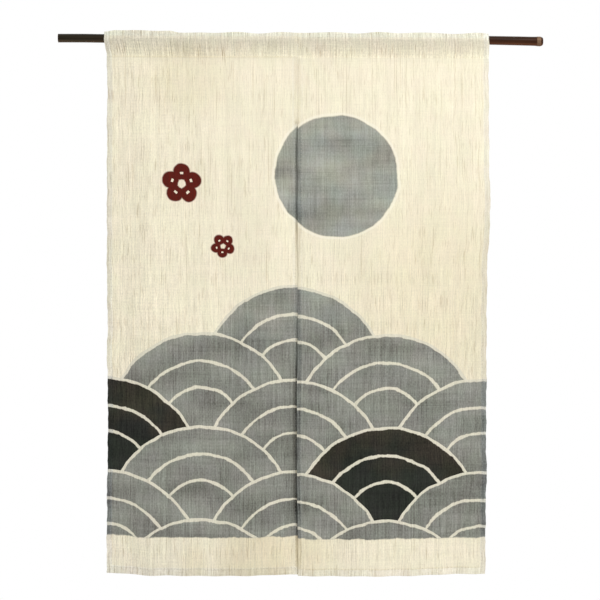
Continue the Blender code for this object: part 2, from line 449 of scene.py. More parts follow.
def cut_columns(panel):
    """The cut's u places, its two fold lines and the hem beside each."""
    left, right = (float(edge) for edge in edges_at(panel, np.array(-0.6)))
    hems = (OUTER_HEM, SLIT_HEM) if panel.slit_side == "right" else (SLIT_HEM, OUTER_HEM)
    middle = np.linspace(left, right, round((right - left) / SHEET_STEP) + 1)
    places = np.concatenate([left - past_fold(hems[0]), middle, (right + past_fold(hems[1]))[::-1]])
    return places, (left, right), hems


def cut_rows():
    """The cut's v places, from the raw edge of the bottom hem to the pocket's back edge."""
    tail = np.linspace(BOTTOM_FOLD, STITCH_HEIGHT, 200)
    run = np.unique(np.concatenate([POCKET_RUN[1:], np.arange(0.004, POCKET_RUN[-1], 0.005)]).round(5))
    return np.concatenate([BOTTOM_FOLD - past_fold(BOTTOM_HEM), tail, STITCH_HEIGHT + run])


for panel in PANELS:
    places, folds, hems = cut_columns(panel)
    print(panel.name, "cut", round(places[-1] - places[0], 4), "by", round(np.ptp(cut_rows()), 4), "m")


# %% Hanging the cut
def turned(past, radius):
    """How far in from an edge, and how far behind the front, a point past the edge's fold lies."""
    run = math.pi * radius
    inward = np.where(past < run, -radius * np.sin(np.minimum(past / radius, math.pi)), past - run)
    behind = radius * (1 - np.cos(np.minimum(past / radius, math.pi)))
    return inward, behind


def side_layers(x, left, right, hems):
    """1 over the side hems and 0 away from them: there the bottom hem folds over two more layers."""
    near_left = ease(x - left, hems[0] + 0.012, hems[0] + 0.001)
    near_right = ease(right - x, hems[1] + 0.012, hems[1] + 0.001)
    return np.maximum(near_left, near_right)


def hang(panel, u, v):
    """The room's (x, y, z) of the cut's places."""
    _, (fold_left, fold_right), hems = cut_columns(panel)
    run = np.clip(v - STITCH_HEIGHT, 0, None)
    path_y, path_z = pocket_at(run)
    # the height that the tables are read at
    up = np.where(v < BOTTOM_FOLD, 2 * BOTTOM_FOLD - v, np.where(run > 0, path_z, v))
    left, right = edges_at(panel, up)
    past = np.maximum(fold_left - u, 0) + np.maximum(u - fold_right, 0)
    inward, side_behind = turned(past, FOLD)
    share = np.clip((u - fold_left) / (fold_right - fold_left), 0, 1)
    x = left + FOLD + share * (right - left - 2 * FOLD)
    x = x + np.where(u < fold_left, inward, 0) - np.where(u > fold_right, inward, 0)

    layers = 1 + 2 * side_layers(x, left, right, hems)
    radius = layers * FOLD
    low = read(panel.hem_line, x, 0.02) + 0.0005 * np.sin(x * 90 + panel.seed)
    high = STITCH_HEIGHT + pole_rise(x)
    past_bottom = np.maximum(BOTTOM_FOLD - v, 0)
    raised, bottom_behind = turned(past_bottom, radius)
    tail = np.clip((v - BOTTOM_FOLD) / (STITCH_HEIGHT - BOTTOM_FOLD), 0, 1)
    z = low + radius + tail * (high - low - radius) + np.where(past_bottom > 0, raised, 0)
    y = hang_depth(panel, x, up) + bottom_behind
    angle = np.minimum(past_bottom / radius, math.pi)
    wrong_y, wrong_z = np.cos(angle), np.sin(angle)

    # above the stitches the cloth follows the pocket's path round the pole
    on_pole = run > 0
    ahead = np.minimum(run + 0.0004, POCKET_RUN[-1])
    behind = np.maximum(ahead - 0.0008, 0)
    run_y, run_z = np.subtract(pocket_at(ahead), pocket_at(behind))
    length = np.maximum(np.hypot(run_y, run_z), 1e-9)
    closing = ease(run, POCKET_RUN[-1] - 0.034, POCKET_RUN[-1] - 0.003)
    y = np.where(on_pole, path_y + PLY * (layers - 1) * closing, y)
    crease = crest_lift(x) * curl(np.abs(run - CREST_RUN), 0.016)
    z = np.where(on_pole, path_z + pole_rise(x) + crease, z)
    wrong_y = np.where(on_pole, run_z / length, wrong_y)
    wrong_z = np.where(on_pole, -run_y / length, wrong_z)
    return np.stack([x, y + wrong_y * side_behind, z + wrong_z * side_behind], axis=-1)


def cockle(panel, points):
    """The uneven hand of the cloth: it never lies quite flat between its waves."""
    depths = np.zeros(points.shape[:-1])
    for index in np.ndindex(depths.shape):
        x, _, z = points[index]
        depths[index] = noise.noise(Vector((x * 13, z * 6, panel.seed))) * 0.0009
        depths[index] += noise.noise(Vector((x * 34, z * 17, panel.seed + 5))) * 0.00035
    return depths * ease(points[..., 2], STITCH_HEIGHT, -0.10)


sample = hang(PANELS[0], np.array([-0.2, -0.2]), np.array([-1.0, 0.0]))
print("two places of the cut hang at", np.round(sample, 4).tolist())

# %% [markdown]
# Each panel starts as a plain grid. Its points are then carried from the flat cut to where the cloth hangs.
# A grid keeps its rows along the weft and its columns along the warp, which a cloth simulation or a remesh
# would lose, and a woven cloth's whole look hangs on its threads' directions.

# %% Making the panels
def deselect():
    bpy.ops.object.select_all(action="DESELECT")


def make_panel(panel):
    columns, rows = cut_columns(panel)[0], cut_rows()
    deselect()
    bpy.ops.mesh.primitive_grid_add(x_subdivisions=len(columns) - 1, y_subdivisions=len(rows) - 1, size=2)
    cloth = bpy.context.object
    cloth.name = panel.name
    mesh = cloth.data
    mesh.name = panel.name
    flat = np.empty(len(mesh.vertices) * 3)
    mesh.vertices.foreach_get("co", flat)
    flat = flat.reshape(-1, 3)
    column = np.round((flat[:, 0] + 1) / 2 * (len(columns) - 1)).astype(int)
    row = np.round((flat[:, 1] + 1) / 2 * (len(rows) - 1)).astype(int)
    u, v = columns[column], rows[row]
    points = hang(panel, u, v)
    points[:, 1] += cockle(panel, points)
    mesh.vertices.foreach_set("co", points.astype(np.float32).ravel())
    corners = np.empty(len(mesh.loops), int)
    mesh.loops.foreach_get("vertex_index", corners)
    cut_map = mesh.uv_layers.active
    cut_map.name = "cut"
    places = np.stack([u, v + panel.drift], axis=-1)[corners]
    cut_map.data.foreach_set("uv", places.astype(np.float32).ravel())
    mesh.update()
    bpy.ops.object.shade_smooth()
    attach(cloth, "root")
    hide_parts(panel.node)
    print(panel.name, len(mesh.polygons), "faces")
    return cloth, (float(np.ptp(columns)), float(np.ptp(rows)))


cloths = {panel.name: make_panel(panel) for panel in PANELS}

# %% [markdown]
# ## The thread
# The stitches are what holds the curtain together, and they catch the light, so they are real pieces: one
# stitch is a short bent curve with a round bevel. It is made once, copied to each place along a sewing
# line, and each panel's copies are joined. A needle goes in and out, so every stitch dips at its two ends.

# %% One stitch
THREAD = 0.00034  # radius
Place = namedtuple("Place", "point along out length")
Sewing = namedtuple("Sewing", "run at pitch length side")  # side is -1 on the front and +1 behind


def one_stitch():
    """A stitch 1 long, along X, that stands 1 thread proud of Z = 0 and dips at its ends."""
    line = bpy.data.curves.new("stitch", "CURVE")
    line.dimensions = "3D"
    line.bevel_depth = THREAD
    line.bevel_resolution = 1
    line.use_fill_caps = True
    run = line.splines.new("POLY")
    steps = ((-0.5, -0.9), (-0.38, 0.25), (0.0, 0.7), (0.38, 0.25), (0.5, -0.9))
    run.points.add(len(steps) - 1)
    for point, (x, height) in zip(run.points, steps):
        point.co = (x, 0, height * THREAD, 1)
    stitch = bpy.data.objects.new("stitch", line)
    bpy.context.scene.collection.objects.link(stitch)
    deselect()
    stitch.select_set(True)
    bpy.context.view_layer.objects.active = stitch
    bpy.ops.object.convert(target="MESH")
    return bpy.context.object


def sew(name, places, stitch):
    """Copies the stitch to each place and joins the copies."""
    deselect()
    for place in places:
        copy = bpy.data.objects.new(name, stitch.data.copy())
        bpy.context.scene.collection.objects.link(copy)
        along = Vector(place.along).normalized()
        out = Vector(place.out)
        out = (out - along * out.dot(along)).normalized()
        across = out.cross(along)
        turn = Matrix((along * place.length, across, out)).transposed().to_4x4()
        copy.data.transform(Matrix.Translation(Vector(place.point)) @ turn)
        copy.select_set(True)
        bpy.context.view_layer.objects.active = copy
    bpy.ops.object.join()
    thread = bpy.context.object
    thread.name = name
    thread.data.name = name
    bpy.ops.object.shade_smooth()
    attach(thread, "root")
    print(name, len(places), "stitches")
    return thread


stitch = one_stitch()
print("a stitch has", len(stitch.data.polygons), "faces")


# %% Where the stitches go
def line_places(panel, u, v, pitch, length, side, jitter=0.15):
    """Stitches along a line of the cut."""
    points = hang(panel, u, v)
    points[:, 1] += cockle(panel, points)
    steps = np.concatenate([[0], np.cumsum(np.linalg.norm(np.diff(points, axis=0), axis=1))])
    found = []
    for number, at in enumerate(np.arange(pitch, steps[-1] - pitch / 2, pitch)):
        at += jitter * pitch * math.sin(number * 12.9 + panel.seed)
        start, end = (
            Vector([np.interp(at + half, steps, points[:, axis]) for axis in range(3)])
            for half in (-length / 2, length / 2)
        )
        middle = (start + end) / 2 + Vector((0, side * 0.0001, 0))
        found.append(Place(middle, end - start, (0, side, 0), length))
    return found


def hem_places(panel):
    """The pocket's line of running stitches, and small pricks along the side and bottom hems."""
    _, (left, right), hems = cut_columns(panel)
    level = np.linspace(left + 0.002, right - 0.002, 120)
    upright = np.linspace(BOTTOM_FOLD + 0.004, STITCH_HEIGHT - 0.004, 240)
    flap = STITCH_HEIGHT + POCKET_RUN[-1] - 0.0016
    lines = (
        Sewing("level", STITCH_HEIGHT - 0.0006, 0.0058, 0.0034, -1),
        Sewing("level", BOTTOM_FOLD + BOTTOM_HEM - 0.0025, 0.0074, 0.0013, -1),
        Sewing("upright", left + hems[0] - 0.0018, 0.0082, 0.0012, -1),
        Sewing("upright", right - hems[1] + 0.0018, 0.0082, 0.0012, -1),
        # behind, the same thread shows along the raw edges that it holds down
        Sewing("level", flap, 0.0058, 0.0024, 1),
        Sewing("level", BOTTOM_FOLD - BOTTOM_HEM + 0.0022, 0.0074, 0.0040, 1),
        Sewing("upright", left - hems[0] + 0.0016, 0.0082, 0.0042, 1),
        Sewing("upright", right + hems[1] - 0.0016, 0.0082, 0.0042, 1),
    )
    found = []
    for line in lines:
        along = level if line.run == "level" else upright
        at = np.full_like(along, line.at)
        u, v = (along, at) if line.run == "level" else (at, along)
        found += line_places(panel, u, v, line.pitch, line.length, line.side)
    return found


threads = [sew(panel.name.replace("cloth", "stitches"), hem_places(panel), stitch) for panel in PANELS]

# %% [markdown]
# The two panels are joined edge to edge with ladder stitches, which cross from one folded edge to the
# other, and the seam's lower end takes the strain of people walking through, so it is barred with a few
# long stitches.

# %% The seam between the panels
SEAM_PITCH = 0.0052


def seam_places():
    found = []
    for height in np.arange(STITCH_HEIGHT - 0.003, SEAM_END, -SEAM_PITCH):
        slope = 0.0004 * math.sin(height * 900)
        found.append(Place((SLIT_X, -0.00045, height), (1, 0, slope * 100), (0, -1, 0), 0.0026))
        under = height - SEAM_PITCH / 2
        found.append(Place((SLIT_X, 0.00105, under), (1, 0, slope * 100), (0, 1, 0), 0.0030))
    for run in np.arange(0.003, POCKET_RUN[-1] - 0.004, SEAM_PITCH):
        y, z = pocket_at(run)
        y_next, z_next = pocket_at(run + 0.0005)
        out = Vector((0, z - z_next, y_next - y)).normalized()
        point = Vector((SLIT_X, y, z + pole_rise(SLIT_X))) + out * 0.0002
        found.append(Place(point, (1, 0, 0), out, 0.0026))
    for step in range(5):
        height = SEAM_END - 0.0012 + step * 0.0011
        found.append(Place((SLIT_X, -0.0006, height), (1, 0, 0.04 * (step - 2)), (0, -1, 0), 0.0085))
    return found


threads.append(sew("seam_stitches", seam_places(), stitch))
bpy.data.objects.remove(stitch)

# %% [markdown]
# ## The pole
# A bamboo culm is a row of straight stretches between nodes. At each node there is a sharp ring, the scar
# that a leaf sheath left, and then a soft swelling. The culm is drawn out from one circle of points, ring by
# ring, by extruding, so it is a single skin with its own rings at every change of width.

# %% Rings of the culm
Ring = namedtuple("Ring", "offset width")  # along the culm from a node, and width over the plain culm

NODE_RINGS = (
    Ring(-0.0160, 0.00000), Ring(-0.0090, 0.00012), Ring(-0.0052, 0.00040),
    Ring(-0.0034, 0.00072), Ring(-0.0027, 0.00095), Ring(-0.0020, 0.00066),
    Ring(-0.0008, 0.00060), Ring(0.0010, 0.00086), Ring(0.0032, 0.00072),
)
AFTER_NODE = (Ring(0.0062, 0.00036), Ring(0.0110, 0.00012), Ring(0.0170, 0.00000))
HALF = POLE_LENGTH / 2
SAWN_RADIUS = POLE_RADIUS - 0.0003  # of the flat face at the left end
ROUNDED_RADIUS = 0.0072  # and of the one at the right end


def stouter(x):
    """The culm is a little stouter at its root end, on the right."""
    return float(0.0004 * ease(x, 0.38, 0.51) * ease(x, HALF, HALF - 0.006))


def culm_rings():
    """(x, radius) of every ring, from the left end to the right one."""
    rings = [(-HALF, SAWN_RADIUS), (-HALF + 0.0002, POLE_RADIUS - 0.0001), (-HALF + 0.0006, POLE_RADIUS)]
    for at in NODE_X:
        plain = np.linspace(rings[-1][0], at + NODE_RINGS[0].offset, 9)[1:-1]
        rings += [(float(x), POLE_RADIUS) for x in plain]
        rings += [(at + ring.offset, POLE_RADIUS + ring.width) for ring in NODE_RINGS]
        if at < HALF - 0.02:
            rings += [(at + ring.offset, POLE_RADIUS + ring.width) for ring in AFTER_NODE]
    rings += [(HALF - 0.0045, 0.0097), (HALF - 0.0028, 0.0094), (HALF - 0.0014, 0.0088)]
    rings += [(HALF - 0.0004, 0.0079), (HALF, ROUNDED_RADIUS)]
    return [(x, radius + stouter(x)) for x, radius in rings]


def ring_height(x):
    """The end stretches run level, so that the sawn faces are square to X."""
    return POLE_LIFT + pole_rise(max(-0.480, min(0.530, x)))


print(len(culm_rings()), "rings")


# %% Drawing out the culm
def draw_culm():
    rings = culm_rings()
    x, radius = rings[0]
    deselect()
    place, turned_up = (x, 0, ring_height(x)), (0, math.pi / 2, 0)
    bpy.ops.mesh.primitive_circle_add(vertices=40, radius=radius, location=place, rotation=turned_up)
    culm = bpy.context.object
    bpy.ops.object.transform_apply(location=True, rotation=True, scale=True)
    bpy.ops.object.mode_set(mode="EDIT")
    bpy.ops.mesh.select_all(action="SELECT")
    for (x0, r0), (x1, r1) in zip(rings, rings[1:]):
        step = (x1 - x0, 0, ring_height(x1) - ring_height(x0))
        bpy.ops.mesh.extrude_region_move(TRANSFORM_OT_translate={"value": step})
        centre = (x1, 0, ring_height(x1))
        bpy.ops.transform.resize(value=(1, r1 / r0, r1 / r0), center_override=centre)
    close_end(HALF, ROUNDED_RADIUS)
    bpy.ops.mesh.select_all(action="DESELECT")
    bpy.ops.object.mode_set(mode="OBJECT")
    pick_ring(culm, -HALF)
    bpy.ops.object.mode_set(mode="EDIT")
    close_end(-HALF, SAWN_RADIUS)
    bpy.ops.mesh.select_all(action="SELECT")
    bpy.ops.mesh.normals_make_consistent(inside=False)
    bpy.ops.object.mode_set(mode="OBJECT")
    return culm


def pick_ring(culm, x):
    """Selects the ring of points at x."""
    for vert in culm.data.vertices:
        vert.select = abs(vert.co.x - x) < 1e-5


def close_end(x, radius):
    """Closes the selected end ring with a sawn face that is a little dished round its pith."""
    centre = (x, 0, ring_height(x))
    inward = math.copysign(0.0007, -x)
    width = radius
    for narrower, deeper in ((0.0064, 0.0), (0.0030, 0.15), (0.0022, 0.9), (0.0006, 1.0)):
        bpy.ops.mesh.extrude_region_move(TRANSFORM_OT_translate={"value": (inward * deeper, 0, 0)})
        bpy.ops.transform.resize(value=(1, narrower / width, narrower / width), center_override=centre)
        width = narrower
    bpy.ops.mesh.merge(type="CENTER")


culm = draw_culm()
culm.name = "bamboo_culm"
culm.data.name = "bamboo_culm"
deselect()
culm.select_set(True)
bpy.context.view_layer.objects.active = culm
bpy.ops.object.shade_smooth_by_angle(angle=math.radians(50))
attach(culm, "root")
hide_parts("pole")
print("culm", len(culm.data.polygons), "faces, box", [round(d, 4) for d in culm.dimensions])

# %% [markdown]
# ## The cloth's finish
# Three things make this cloth what it is. Its threads are spun by hand, so thick and thin places run along
# them as streaks, upright along the warp and, more faintly, level along the weft. It is sheer, so the pole,
# the pocket's second layer and the hems show through it as darker bands. And it is dyed by brush through a
# paste resist, so each form has a crisp edge, cream lines where the paste lay, and level brush marks inside.
# The pattern is the traditional one of overlapping waves, with a moon and a few plum flowers. It is worked
# out from a few sizes, so it is exact at any distance.

# %% Colours of the cloth and its dyes
CREAM = tint(235, 227, 202)
PALE = tint(243, 238, 222)
SLUB = tint(168, 148, 112)
GREY_COOL, GREY_WARM = tint(139, 144, 138), tint(144, 144, 133)
GREY_DEEP = tint(115, 117, 111)
INK_HEART, INK_RIM = tint(37, 40, 35), tint(50, 47, 38)
BRICK = tint(83, 11, 1)
THROUGH = tint(250, 242, 219)  # light that has passed through the cloth
AGED = (0.86, 0.82, 0.72, 1)  # what an old stain does to the cream
# painted shade: makes the cream darker and cooler towards the lower left
LOWER_LEFT_SHADE = (0.925, 0.928, 0.950, 1)
DOUBLED = (0.975, 1.015, 1.135, 1)  # less light comes through doubled cloth, so it looks cooler
CREST = (0.985, 1.035, 1.07, 1)  # the sheer fold over the pole looks cooler and greener
ROSY, GREENISH = (1.04, 0.96, 1.04, 1), (0.96, 1.04, 0.96, 1)  # patches where old cloth has turned
PASTE_LINE, RED_HALO = tint(203, 200, 184), tint(238, 218, 198)

Stain = namedtuple("Stain", "u v width height strength")
STAINS = (
    Stain(-0.250, -0.090, 0.110, 0.090, 0.40),
    Stain(0.300, -0.580, 0.230, 0.280, 0.46),
    Stain(-0.095, -1.145, 0.105, 0.110, 0.84),
    Stain(-0.234, -1.160, 0.034, 0.060, 0.60),
    Stain(0.005, -1.128, 0.085, 0.060, 0.66),
)

dye = Finish("hand-dyed bast cloth")
cut = dye.node("ShaderNodeUVMap", {"uv_map": "cut"})
u, v, _ = dye.parts(cut.outputs[0])
print("cloth finish reads the cut's own map")

# %% [markdown]
# The threads come from noise that is stretched along them. One layer runs the whole length of the cloth,
# because a thick or dark yarn stays so, a second one changes sooner, and slubs are the few places where
# a third one rises above a threshold. The weave itself, over and under, is two crossed rows of waves that
# wander with slow noise, as threads beaten in by hand do.

# %% Threads and slubs
WARP_PITCH = 0.00115
WEFT_PITCH = 0.00125

bend_u = (dye.grain(u * 30, v * 14, 1.0) - 0.5) * 0.0016
bend_v = (dye.grain(u * 14, v * 30, 5.0) - 0.5) * 0.0016
thread_u, thread_v = u + bend_u, v + bend_v
warp_long = dye.grain(thread_u / 0.0029, v / 0.45, 2.0, 2.0, 0.65)
warp_short = dye.grain(thread_u / 0.0026, v / 0.055, 7.0, 2.0, 0.65)
weft_long = dye.grain(u / 0.13, thread_v / 0.0026, 3.0, 2.0, 0.65)
cloud = dye.grain(u / 0.07, v / 0.13, 4.0, 3.0)
clusters = dye.grain(u / 0.05, v / 0.16, 17.0).rise(0.34, 0.62)
thick_warp = dye.grain(thread_u / 0.0022, v / 0.050, 11.0, 1.0).rise(0.60, 0.74) * clusters
long_slub = dye.grain(thread_u / 0.0021, v / 0.190, 19.0, 1.0).rise(0.62, 0.74)
hairs = dye.grain(thread_u / 0.0013, v / 0.036, 23.0, 1.0).rise(0.60, 0.72)
thick_weft = dye.grain(u / 0.050, thread_v / 0.0024, 13.0, 1.0).rise(0.66, 0.80)
fleck = dye.grain(thread_u / 0.0023, thread_v / 0.0046, 67.0, 1.0) - 0.5
slubs = thick_warp.most(long_slub * 0.85).most(hairs * 0.7).most(thick_weft * 0.35)
threads_tone = (warp_long - 0.5) * 0.60 + (warp_short - 0.5) * 0.70 + (weft_long - 0.5) * 0.25 + fleck * 0.46
warp_wave = (thread_u * (2 * math.pi / WARP_PITCH)).math("SINE")
weft_wave = (thread_v * (2 * math.pi / WEFT_PITCH)).math("SINE")
weave = (warp_wave * 0.5 + 0.5) * 0.6 + (weft_wave * 0.5 + 0.5) * 0.4
print("threads", WARP_PITCH * 1000, "mm and", WEFT_PITCH * 1000, "mm apart")

# %% Doubled cloth
HEM_SOFT = 0.0010
MIDDLE_LEFT, MIDDLE_RIGHT = (float(np.mean(edges_at(PANELS[n], np.array([-0.6]))[n])) for n in (0, 1))

left_hem = u.rise(MIDDLE_LEFT + OUTER_HEM + HEM_SOFT, MIDDLE_LEFT + OUTER_HEM - HEM_SOFT)
doubled = left_hem.most(u.rise(MIDDLE_RIGHT - OUTER_HEM - HEM_SOFT, MIDDLE_RIGHT - OUTER_HEM + HEM_SOFT))
doubled = doubled.most(u.band(SLIT_X, 2 * SLIT_HEM + 0.002, 2 * HEM_SOFT) * 0.35)
bottom_doubled = v.rise(BOTTOM_FOLD + BOTTOM_HEM + HEM_SOFT, BOTTOM_FOLD + BOTTOM_HEM - HEM_SOFT)
doubled = doubled.most(bottom_doubled)
in_pocket = v.rise(STITCH_HEIGHT - HEM_SOFT, STITCH_HEIGHT + HEM_SOFT)
print("hems lie outside", round(MIDDLE_LEFT + OUTER_HEM, 4), "and", round(MIDDLE_RIGHT - OUTER_HEM, 4))

# %% [markdown]
# The wave pattern, seigaiha, is one disc repeated on a staggered grid, with each row of discs in front of
# the row above. To find what shows at a place, the four rows that could reach it are tried from the lowest
# up: the first disc that covers the place is the one that is seen. Its centre then says whether that wave
# is dyed at all, and how dark.

# %% The overlapping waves
WAVE_RADIUS = 0.205
WAVE_ROW = WAVE_RADIUS / 2
WAVE_ORIGIN = (-0.22, -1.26)
WAVE_FOOT = -1.098  # below this the cloth is left undyed
RESIST_LINE = 0.0062  # width of a line of paste
EDGE_SOFT = 0.0018

wobble_u = (dye.grain(u * 19, v * 19, 21.0, 2.0) - 0.5) * 0.010
wobble_v = (dye.grain(u * 19, v * 19, 27.0, 2.0) - 0.5) * 0.010
fine_rag, slow_rag = dye.grain(u * 150, v * 150, 41.0, 2.0), dye.grain(u * 45, v * 45, 43.0)
ragged = (fine_rag - 0.5) * 0.0034 + (slow_rag - 0.5) * 0.0044
pattern_u, pattern_v = u + wobble_u, v + wobble_v
row_floor = ((pattern_v - WAVE_ORIGIN[1]) / WAVE_ROW).floor()


def wave_disc(row):
    """Distance from the centre of the nearest disc of a row, and where that centre is."""
    stagger = (row * 0.5 - (row * 0.5).floor()) * 2 * WAVE_RADIUS
    along = (pattern_u - WAVE_ORIGIN[0] - stagger) / (2 * WAVE_RADIUS)
    centre_u = (along + 0.5).floor() * (2 * WAVE_RADIUS) + stagger + WAVE_ORIGIN[0]
    centre_v = row * WAVE_ROW + WAVE_ORIGIN[1]
    across, up = pattern_u - centre_u, pattern_v - centre_v
    return (across * across + up * up) ** 0.5, centre_u, centre_v


def swell(centre_u):
    """Height below which a wave's centre must lie: the sea heaps up a little left of the middle."""
    from_top = centre_u + 0.10
    return from_top * from_top * -0.9 - 0.70


reach, wave_u, wave_v, dyed = 0.0, 0.0, 0.0, 0.0
for step in (2, 1, 0, -1):
    distance, centre_u, centre_v = wave_disc(row_floor + step)
    covers = (distance < WAVE_RADIUS) * (centre_v < swell(centre_u))
    clear = 1.0 - covers
    reach = distance * covers + clear * reach
    wave_u = centre_u * covers + clear * wave_u
    wave_v = centre_v * covers + clear * wave_v
    dyed = covers.most(dyed)
dyed = dyed * (pattern_v + ragged).rise(WAVE_FOOT - EDGE_SOFT, WAVE_FOOT + EDGE_SOFT)
print("waves of radius", WAVE_RADIUS, "m in rows", WAVE_ROW, "m apart")

# %% Lines, inky waves and the moon
LINE_RADII = (0.69, 0.41)
INKY = ((-0.425, -0.9525), (0.190, -1.055))
MOON = (0.078, -0.298, 0.134)
FLOWERS = ((-0.262, -0.318, 0.046, 0.3), (-0.172, -0.455, 0.028, 1.0))


def ring_line(radius):
    away = (reach - radius).size() + ragged
    return away.rise((RESIST_LINE + EDGE_SOFT) / 2, (RESIST_LINE - EDGE_SOFT) / 2)


rim = WAVE_RADIUS - RESIST_LINE
lines = (reach + ragged).rise(rim - EDGE_SOFT / 2, rim + EDGE_SOFT / 2)
for share in LINE_RADII:
    lines = lines.most(ring_line(WAVE_RADIUS * share))
lines = lines * dyed

inky = 0.0
for at_u, at_v in INKY:
    inky = (((wave_u - at_u).size() + (wave_v - at_v).size()) < 0.05).most(inky)
inky = inky * dyed

moon_u, moon_v = pattern_u - MOON[0], pattern_v - MOON[1]
moon_away = (moon_u * moon_u + moon_v * moon_v) ** 0.5 + ragged * 0.4
moon = moon_away.rise(MOON[2] + EDGE_SOFT, MOON[2] - EDGE_SOFT)
moon_halo = moon_away.band(MOON[2] + 0.0035, 0.005, 0.003)
print(len(INKY), "inky waves")


# %% [markdown]
# A plum flower has five round petals. Turning every direction back into one fifth of a circle means that
# one petal serves for all five.

# %% Plum flowers
def flower(at_u, at_v, size, turn):
    """1 on the petals, and 1 on the paste lines round and inside them."""
    across, up = pattern_u - at_u, pattern_v - at_v
    away = (across * across + up * up) ** 0.5
    fifth = 2 * math.pi / 5
    angle = up.math("ARCTAN2", across) + (turn + 4 * math.pi)
    folded = (angle / fifth - (angle / fifth).floor() - 0.5) * fifth
    out, side = away * folded.math("COSINE") - size * 0.56, away * folded.math("SINE")
    petal = (out * out + side * side) ** 0.5 + ragged * 0.3
    petals = petal.rise(size * 0.42 + EDGE_SOFT, size * 0.42 - EDGE_SOFT)
    heart = away.rise(size * 0.17 + EDGE_SOFT, size * 0.17 - EDGE_SOFT)
    stamens = away.band(size * 0.50, size * 0.11, 0.001) * (folded.size() < 0.16)
    halo = petal.rise(size * 0.42 + 0.008, size * 0.42 + 0.002)
    return petals * (1.0 - heart.most(stamens)), halo


flowers, halos = 0.0, 0.0
for at in FLOWERS:
    petals, halo = flower(*at)
    flowers, halos = petals.most(flowers), halo.most(halos)
print(len(FLOWERS), "plum flowers")

# %% [markdown]
# Dye that is brushed on by hand dries in level bands, because the brush goes across the cloth, and it takes
# better on some yarns than on others. A few thin bars are darker, where the weft was beaten in closer.

# %% Putting the dyes on the cloth
depth_share = v.rise(-0.42, -0.78)
brush = dye.grain(u / 0.34, v / 0.028, 31.0, 3.0, 0.6)
pools = dye.grain(u / 0.15, v / 0.070, 37.0, 1.2)
bars = dye.grain(u / 0.20, v / 0.0065, 53.0, 1.0).rise(0.60, 0.72)
hue = dye.grain(u / 0.08, v / 0.08, 47.0, 2.0).rise(0.30, 0.70)
turned_hue = dye.grain(u / 0.045, v / 0.055, 71.0, 2.0).rise(0.30, 0.70)
ink_mask = inky * (1.0 - lines)
grey_mask = (dyed * (1.0 - lines) * (1.0 - inky)).most(moon * (1.0 - dyed))

# painted shade: the cream darkens towards the lower left, away from the lamp
painted_lower_left_shade = u.rise(0.12, -0.36) * v.rise(-0.70, -1.17)
# age and handling have brought the threads out, most of all low down, at the left and over the pole
raised = v.rise(-0.25, -0.85) * 0.34 + u.rise(-0.10, -0.42) * 0.36 + in_pocket * 0.66
cream = dye.blend(slubs * (0.55 + raised * 0.55), CREAM, SLUB)
cream = dye.scale(cream, 1.0 + threads_tone * (0.50 + raised) + (cloud - 0.5) * 0.12)
cream = dye.blend(painted_lower_left_shade, cream, LOWER_LEFT_SHADE, "MULTIPLY")
stained = 0.0
for stain in STAINS:
    across, up = (u - stain.u) / stain.width, (v - stain.v) / stain.height
    mark = ((across * across + up * up) ** 0.5).rise(1.25, 0.30) * (0.6 + cloud * 0.8) * stain.strength
    stained = mark.most(stained)
cream = dye.blend(stained, cream, AGED, "MULTIPLY")
dyed_threads = threads_tone * (1.20 + depth_share * 1.05)
dye_tone = 1.0 + (brush - 0.5) * 0.60 + (pools - 0.5) * 1.30 + dyed_threads - bars * 0.12
grey = dye.blend(depth_share * 0.85, dye.blend(hue, GREY_COOL, GREY_WARM), GREY_DEEP)
dark_yarns = thick_warp.most(hairs * 0.9).most(thick_weft * 0.8)
on_left = u < SLIT_X
# painted shadow: low down, the left panel's grey darkens towards the slit, where the right panel's edge
# stands in front of it; painted shade also darkens a strip along the right panel's own edge at the slit
painted_slit_shadow = u.rise(SLIT_X - 0.040, SLIT_X - 0.006) * on_left * v.rise(-0.66, -0.80)
painted_slit_edge_shade = u.rise(SLIT_X - 0.014, SLIT_X - 0.004) * on_left * v.rise(-0.66, -0.80)
painted_slit_edge_shade = painted_slit_edge_shade.most(u.rise(SLIT_X + 0.0086, SLIT_X + 0.0062) * (1.0 - on_left) * 0.8)
pale_yarns = dye.grain(thread_u / 0.0019, v / 0.060, 61.0, 1.0).rise(0.62, 0.76)
odd_yarns = (pale_yarns * 0.14 - dark_yarns * 0.19) * (1.0 + depth_share * 0.5)
grey = dye.scale(grey, dye_tone + odd_yarns - painted_slit_shadow * 0.18 - painted_slit_edge_shade * 0.26)
ink = dye.blend((reach / WAVE_RADIUS + (hue - 0.5) * 0.5).rise(0.45, 1.05), INK_HEART, INK_RIM)
ink = dye.scale(ink, dye_tone + odd_yarns * 1.5)
brick = dye.scale(BRICK, 1.0 + threads_tone * 1.4)

colour = dye.blend(lines * 0.80, cream, dye.scale(PASTE_LINE, 1.0 + threads_tone * 0.9))
colour = dye.blend(moon_halo * 0.5, colour, PALE)
colour = dye.blend(grey_mask, colour, grey)
colour = dye.blend(ink_mask, colour, ink)
colour = dye.blend(halos * 0.35, colour, RED_HALO)
colour = dye.blend(flowers, colour, brick)
dark_share = (grey_mask * 0.75).most(ink_mask * 0.99).most(flowers * 0.97)
patchy = 0.5 + (turned_hue - 0.5) * (0.22 + grey_mask * 0.18 + ink_mask * 0.78)
colour = dye.blend(1.0, colour, dye.blend(patchy, ROSY, GREENISH), "MULTIPLY")
cooler = doubled.most(in_pocket * 0.3) * (1.0 - dark_share * 0.6)
colour = dye.blend(cooler, colour, DOUBLED, "MULTIPLY")
